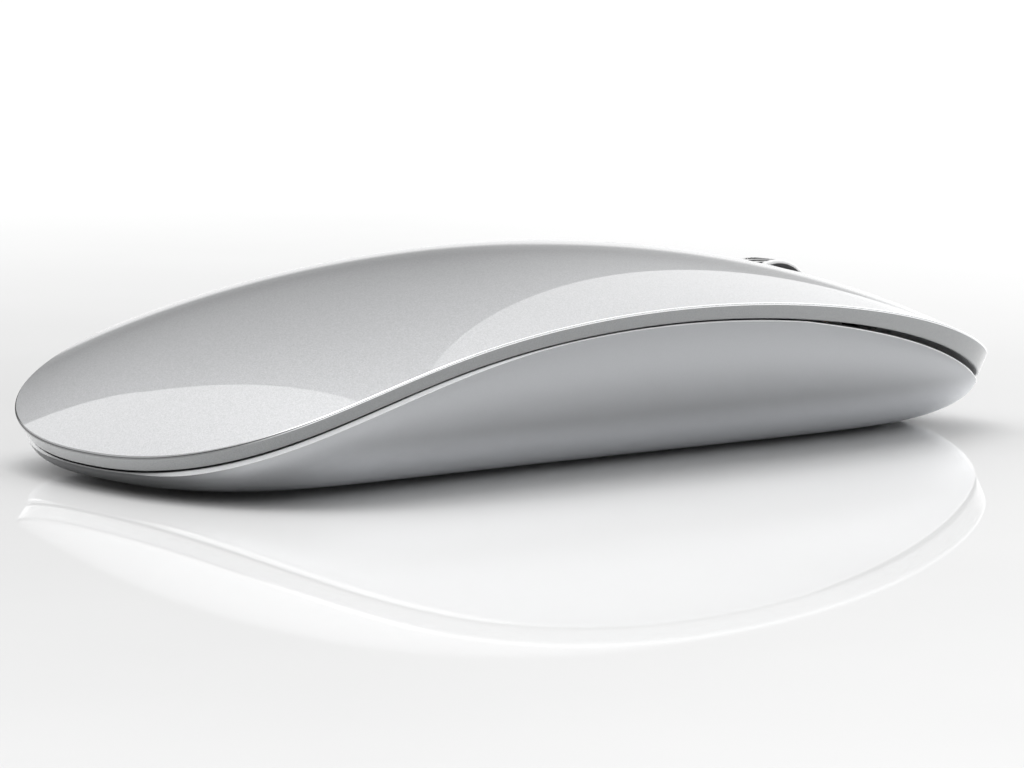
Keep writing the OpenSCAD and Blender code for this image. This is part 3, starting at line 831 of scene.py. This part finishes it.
class Shader:
    """A material with a principled surface, and short ways to add and link nodes."""

    def __init__(self, name="", material=None):
        self.material = material or bpy.data.materials.new(name)
        self.material.use_nodes = True
        self.tree = self.material.node_tree
        self.surface = self.tree.nodes["Principled BSDF"]

    def node(self, kind, **values):
        made = self.tree.nodes.new("ShaderNode" + kind)
        for key, value in values.items():
            if hasattr(made, key):
                setattr(made, key, value)
            else:
                made.inputs[key.replace("_", " ").title()].default_value = value
        return made

    def link(self, source, target):
        self.tree.links.new(source, target)

    def set(self, **values):
        for key, value in values.items():
            label = key.replace("_", " ").title().replace("Ior", "IOR")
            self.surface.inputs[label].default_value = value

    def places(self, stretch=(1, 1, 1)):
        """Object coordinates in millimetres, stretched along each axis."""
        coords = self.node("TexCoord")
        mapping = self.node("Mapping")
        mapping.inputs["Scale"].default_value = [1 / MM / s for s in stretch]
        self.link(coords.outputs["Object"], mapping.inputs["Vector"])
        return mapping.outputs["Vector"]

    def noise(self, scale, detail=2, stretch=(1, 1, 1)):
        made = self.node("TexNoise", scale=scale, detail=detail)
        self.link(self.places(stretch), made.inputs["Vector"])
        return made.outputs["Fac"]

    def ramp(self, source, stops):
        made = self.node("ValToRGB")
        fill_ramp(made, stops)
        self.link(source, made.inputs["Fac"])
        return made.outputs["Color"]

    def fade(self, source, across, values):
        """A smooth change from one value to another across a range of the source."""
        made = self.node("MapRange", interpolation_type="SMOOTHSTEP")
        for label, value in zip(("From Min", "From Max", "To Min", "To Max"), (*across, *values)):
            made.inputs[label].default_value = value
        self.link(source, made.inputs["Value"])
        return made.outputs["Result"]

    def bump(self, height, strength, distance):
        made = self.node("Bump", strength=strength, distance=distance)
        self.link(height, made.inputs["Height"])
        return made.outputs["Normal"]


def shades(colour, spread):
    return [tuple(min(1, c * f) for c in colour) for f in (1 - spread, 1 + spread)]


def grained(name, colour, roughness, metallic=0.0, grain=4.0, spread=0.06, relief=0.02,
            stretch=(1, 1, 1), **more):
    """Plastic or metal with a fine grain in its colour, gloss and relief."""
    s = Shader(name)
    grain_value = s.noise(grain, 3, stretch)
    dark, light = shades(colour, spread)
    s.link(s.ramp(grain_value, [(0.3, dark), (0.7, light)]), s.surface.inputs["Base Color"])
    rough = s.node("MapRange")
    rough.inputs["To Min"].default_value = roughness * 0.9
    rough.inputs["To Max"].default_value = min(1, roughness * 1.1)
    s.link(grain_value, rough.inputs["Value"])
    s.link(rough.outputs["Result"], s.surface.inputs["Roughness"])
    s.link(s.bump(grain_value, 0.5, relief * MM), s.surface.inputs["Normal"])
    s.set(metallic=metallic, **more)
    return s.material


def metallic_paint(name, colour, metallic, roughness, flake, spread, coat, coat_roughness):
    """Silver paint: flakes of a size in mm, of different brightness and tilt, under a clear lacquer."""
    s = Shader(name)
    cells = s.node("TexVoronoi", scale=1 / flake)
    s.link(s.places(), cells.inputs["Vector"])
    fine = s.noise(0.55 / flake, 2)
    mix = s.node("Math", operation="ADD")
    split = s.node("SeparateColor")
    s.link(cells.outputs["Color"], split.inputs["Color"])
    s.link(split.outputs["Red"], mix.inputs[0])
    s.link(fine, mix.inputs[1])
    half = s.node("Math", operation="MULTIPLY")
    half.inputs[1].default_value = 0.5
    s.link(mix.outputs["Value"], half.inputs[0])
    dark, light = shades(colour, spread)
    s.link(s.ramp(half.outputs["Value"], [(0.2, dark), (0.8, light)]), s.surface.inputs["Base Color"])
    s.link(s.bump(split.outputs["Green"], 0.25, 0.004 * MM), s.surface.inputs["Normal"])
    s.set(metallic=metallic, roughness=roughness, coat_weight=coat, coat_roughness=coat_roughness)
    return s.material


def scale_colour(s, factor):
    """Multiply a paint's base colour by a value socket."""
    base = s.surface.inputs["Base Color"]
    scaled = s.node("VectorMath", operation="SCALE")
    s.link(base.links[0].from_socket, scaled.inputs[0])
    s.link(factor, scaled.inputs["Scale"])
    s.link(scaled.outputs["Vector"], base)


def along_axis(s, axis):
    """Place along an axis, in millimetres."""
    split = s.node("SeparateXYZ")
    s.link(s.places(), split.inputs["Vector"])
    return split.outputs[axis]


def painted_bounce_light(material, factor, heights, rear):
    """Paint light from the floor into a paint low down: paler by a factor; it fades over the heights and
    over the rear, in mm.
    """
    s = Shader(material=material)
    painted_light_factor = s.node("Math", operation="MULTIPLY_ADD")
    painted_light_factor.inputs[2].default_value = 1
    s.link(s.fade(along_axis(s, "Y"), rear, (0, factor - 1)), painted_light_factor.inputs[0])
    s.link(s.fade(along_axis(s, "Z"), heights, (1, 0)), painted_light_factor.inputs[1])
    scale_colour(s, painted_light_factor.outputs["Value"])


def painted_rear_shade(material, factor, rear):
    """Paint shade into a material at the rear end: darker by a factor, fading over a length in mm."""
    s = Shader(material=material)
    scale_colour(s, s.fade(along_axis(s, "Y"), rear, (factor, 1)))


def solder_mask(name):
    """Green board with copper tracks that show faintly through the mask."""
    s = Shader(name)
    tracks = s.node("TexBrick", scale=0.45, offset=0.3)
    tracks.inputs["Color1"].default_value = (0.02, 0.13, 0.07, 1)
    tracks.inputs["Color2"].default_value = (0.025, 0.16, 0.085, 1)
    tracks.inputs["Mortar"].default_value = (0.06, 0.26, 0.13, 1)
    tracks.inputs["Mortar Size"].default_value = 0.03
    s.link(s.places(), tracks.inputs["Vector"])
    s.link(tracks.outputs["Color"], s.surface.inputs["Base Color"])
    s.link(s.bump(tracks.outputs["Fac"], 0.4, 0.02 * MM), s.surface.inputs["Normal"])
    s.set(roughness=0.35)
    return s.material


MATERIALS = {
    "cover_silver": metallic_paint(
        "cover_silver", (0.475, 0.48, 0.49), metallic=0.3, roughness=0.42,
        flake=0.09, spread=0.16, coat=1.0, coat_roughness=0.02),
    "case_satin": metallic_paint(
        "case_satin", (0.455, 0.465, 0.48), metallic=0.6, roughness=0.36,
        flake=0.05, spread=0.03, coat=0.0, coat_roughness=0.3),
    "frame_dark": grained("frame_dark", (0.045, 0.046, 0.05), 0.5),
    "cell_jacket": grained("cell_jacket", (0.62, 0.42, 0.09), 0.3, 0.6, grain=1.5),
    "contact_metal": grained("contact_metal", (0.62, 0.6, 0.52), 0.3, 1.0, stretch=(1, 6, 1)),
    "board_green": solder_mask("board_green"),
    "chip_black": grained("chip_black", (0.02, 0.02, 0.022), 0.45),
    "plunger_red": grained("plunger_red", (0.5, 0.03, 0.02), 0.4),
    "natural_plastic": grained("natural_plastic", (0.78, 0.78, 0.74), 0.4, subsurface_weight=0.15),
    "hub_dark": grained("hub_dark", (0.05, 0.05, 0.053), 0.45),
    "tread_silver": grained("tread_silver", (0.92, 0.92, 0.92), 0.2, coat_weight=0.6),
    "steel": grained("steel", (0.55, 0.55, 0.56), 0.28, 1.0, stretch=(1, 1, 8)),
    "encoder_green": grained("encoder_green", (0.08, 0.2, 0.12), 0.4),
    "lens_clear": grained("lens_clear", (0.9, 0.94, 0.97), 0.08, spread=0.02, transmission_weight=0.9),
    "lamp_red": grained("lamp_red", (0.6, 0.03, 0.02), 0.12, transmission_weight=0.5),
    "capacitor_sleeve": grained("capacitor_sleeve", (0.03, 0.04, 0.08), 0.25),
    "knob_black": grained("knob_black", (0.025, 0.025, 0.028), 0.4),
    "plug_metal": grained("plug_metal", (0.7, 0.7, 0.7), 0.16, 1.0, stretch=(8, 1, 1)),
    "glide_grey": grained("glide_grey", (0.03, 0.03, 0.032), 0.55),
}
edge_material = grained(
    "edge_polished", (0.85, 0.86, 0.87), 0.14, 1.0, grain=8, spread=0.01, relief=0.005)
# Painted shade: the polished edge is darker towards the rear end
painted_rear_shade(edge_material, factor=0.25, rear=(-53, -44))
band_material = metallic_paint(
    "band_polished", (0.275, 0.282, 0.286), metallic=0.5, roughness=0.35,
    flake=0.07, spread=0.12, coat=1.0, coat_roughness=0.01)
inside_material = grained("cover_inside", (0.3, 0.3, 0.31), 0.5)
groove_material = grained("wheel_grooves", (0.012, 0.012, 0.013), 0.9, ior=1.15)
# The bead round the top of the lower case: a glossy finish, with a pale colour that is painted highlight
lip_painted_highlight = grained("lip_gloss_painted_highlight", (0.9, 0.91, 0.92), 0.15, grain=8, spread=0.01, coat_weight=1.0)


def paint(obj, *materials):
    """Put materials into the first slots of a mesh."""
    slots = obj.data.materials
    while len(slots) < len(materials):
        slots.append(None)
    for index, material in enumerate(materials):
        slots[index] = material


for obj in (palm_skin, *button_skins.values()):
    paint(obj, MATERIALS["cover_silver"], edge_material, band_material, inside_material)
for obj in (*cover_bosses, *button_ribs.values()):
    paint(obj, inside_material)
for obj in board_posts:
    paint(obj, MATERIALS["case_satin"])
# Painted light: the case's paint is paler low down, where light from the floor falls, fading out towards
# the rear
painted_bounce_light(MATERIALS["case_satin"], factor=1.65, heights=(3.6, 6.6), rear=(-50, -37))
# Painted shade: the case and its bead are darker at the very rear end
painted_rear_shade(MATERIALS["case_satin"], factor=0.15, rear=(-55.5, -49.5))
painted_rear_shade(lip_painted_highlight, factor=0.2, rear=(-55.4, -53.4))
paint(case_skin, MATERIALS["case_satin"], lip_painted_highlight)
paint(inner_frame, MATERIALS["frame_dark"])
paint(tread, MATERIALS["tread_silver"], groove_material, MATERIALS["hub_dark"])

# The other CAD nodes show as they are, with small bevels
BEVEL = 0.1 * MM
BEVEL_FROM = 40  # degrees between two faces
WELD = 0.001 * MM
UNBEVELLED = {"positive_contact", "negative_spring", "sensor_lens", "power_slider",
              "receiver_plug", "encoder_rotor"}
for part in frame["record"]["subparts"]:
    node = nodes[part["node"]]
    paint(node, MATERIALS[part["material_slot"]])
    if node.hide_render:
        continue
    welded = node.modifiers.new("weld", "WELD")
    welded.merge_threshold = WELD
    if part["node"] not in UNBEVELLED:
        bevel = node.modifiers.new("bevel", "BEVEL")
        bevel.width = BEVEL
        bevel.segments = 2
        bevel.limit_method = "ANGLE"
        bevel.angle_limit = math.radians(BEVEL_FROM)
        bevel.harden_normals = True

# ---- Floor, light and camera ----

AIM = Vector((0.3, -0.2, 7.0)) * MM
CAMERA_AZIMUTH = 52.0346
CAMERA_ELEVATION = 6.7486
CAMERA_DISTANCE = 0.4782
CAMERA_LENS = 150.86
FLOOR_HALF = 6
SOFTBOX_DISTANCE = 3


def direction(azimuth, elevation):
    """Unit vector; azimuth turns from +Y towards +X, in degrees."""
    a, e = math.radians(azimuth), math.radians(elevation)
    return Vector((math.sin(a) * math.cos(e), math.cos(a) * math.cos(e), math.sin(e)))


def link(name, data):
    obj = bpy.data.objects.new(name, data)
    bpy.context.scene.collection.objects.link(obj)
    return obj


def floor():
    """A wide pale glossy floor."""
    half = FLOOR_HALF
    corners = [(-half, -half, 0), (half, -half, 0), (half, half, 0), (-half, half, 0)]
    obj = add_mesh("floor", corners, [(0, 1, 2, 3)])
    s = Shader("floor_white")
    s.link(s.ramp(s.noise(0.02), [(0.3, (0.9, 0.9, 0.9)), (0.7, (0.92, 0.92, 0.92))]),
           s.surface.inputs["Base Color"])
    s.set(roughness=0.03, ior=1.3)
    paint(obj, s.material)


def softbox(name, towards, size, radiance, edge_normal=None):
    """A large area light; with an edge normal, one of its sides lies in that plane through the origin."""
    normal = Vector(edge_normal or towards.cross(Vector((0, 0, 1)))).normalized()
    up = towards.cross(normal).normalized()
    side = up.cross(towards)
    middle = 0
    if edge_normal:
        edge = -SOFTBOX_DISTANCE * towards.dot(normal) / side.dot(normal)
        middle = edge - math.copysign(size[0] / 2, side.dot(normal))
    light = bpy.data.lights.new(name, "AREA")
    light.shape = "RECTANGLE"
    light.size, light.size_y = size
    light.energy = radiance * math.pi * size[0] * size[1]
    turn = Matrix((side, up, towards)).transposed().to_4x4()
    link(name, light).matrix_world = Matrix.Translation(towards * SOFTBOX_DISTANCE + side * middle) @ turn


def grey_ramp(tree, source, stops):
    ramp = tree.nodes.new("ShaderNodeValToRGB")
    fill_ramp(ramp, [(position, (value, value, value)) for position, value in stops])
    tree.links.new(source, ramp.inputs["Fac"])
    return ramp.outputs["Color"]


def studio_world():
    """Grey surroundings, bright along the horizon and overhead, with a soft glow beyond the front."""
    world = bpy.data.worlds.new("studio")
    world.use_nodes = True
    tree = world.node_tree
    coords = tree.nodes.new("ShaderNodeTexCoord")
    split = tree.nodes.new("ShaderNodeSeparateXYZ")
    tree.links.new(coords.outputs["Generated"], split.inputs["Vector"])
    heights = [(0.0, 1.0), (0.07, 0.95), (0.12, 0.28), (0.2, 0.1), (0.6, 0.3), (1.0, 0.9)]
    surroundings = grey_ramp(tree, split.outputs["Z"], heights)
    toward = tree.nodes.new("ShaderNodeVectorMath")
    toward.operation = "DOT_PRODUCT"
    toward.inputs[1].default_value = direction(-15, 12)
    tree.links.new(coords.outputs["Generated"], toward.inputs[0])
    glow = grey_ramp(tree, toward.outputs["Value"], [(0.78, 0), (0.95, 0.35)])
    both = tree.nodes.new("ShaderNodeVectorMath")
    tree.links.new(surroundings, both.inputs[0])
    tree.links.new(glow, both.inputs[1])
    tree.links.new(both.outputs["Vector"], tree.nodes["Background"].inputs["Color"])
    bpy.context.scene.world = world


floor()
studio_world()
# The edges of the front and the rear softbox are the edges of the two bright areas on the cover
softbox("front_softbox", direction(-38, 32), size=(2.6, 3.6), radiance=0.9,
        edge_normal=(-0.741, -0.625, -0.246))
softbox("rear_softbox", direction(-100, 42), size=(3, 3), radiance=1.45,
        edge_normal=(-0.099, 0.957, -0.271))
softbox("side_softbox", direction(45, 33), size=(4.5, 1), radiance=1.2)
softbox("top_softbox", direction(-90, 86), size=(2.2, 2.2), radiance=3)

camera = bpy.data.cameras.new("camera")
camera.lens = CAMERA_LENS
camera.sensor_width = 36
camera.clip_start = 0.01
camera_object = link("camera", camera)
away = direction(180 - CAMERA_AZIMUTH, CAMERA_ELEVATION)
camera_object.location = AIM + away * CAMERA_DISTANCE
camera_object.rotation_euler = away.to_track_quat("Z", "Y").to_euler()
bpy.context.scene.camera = camera_object
bpy.context.scene.view_settings.view_transform = "Standard"
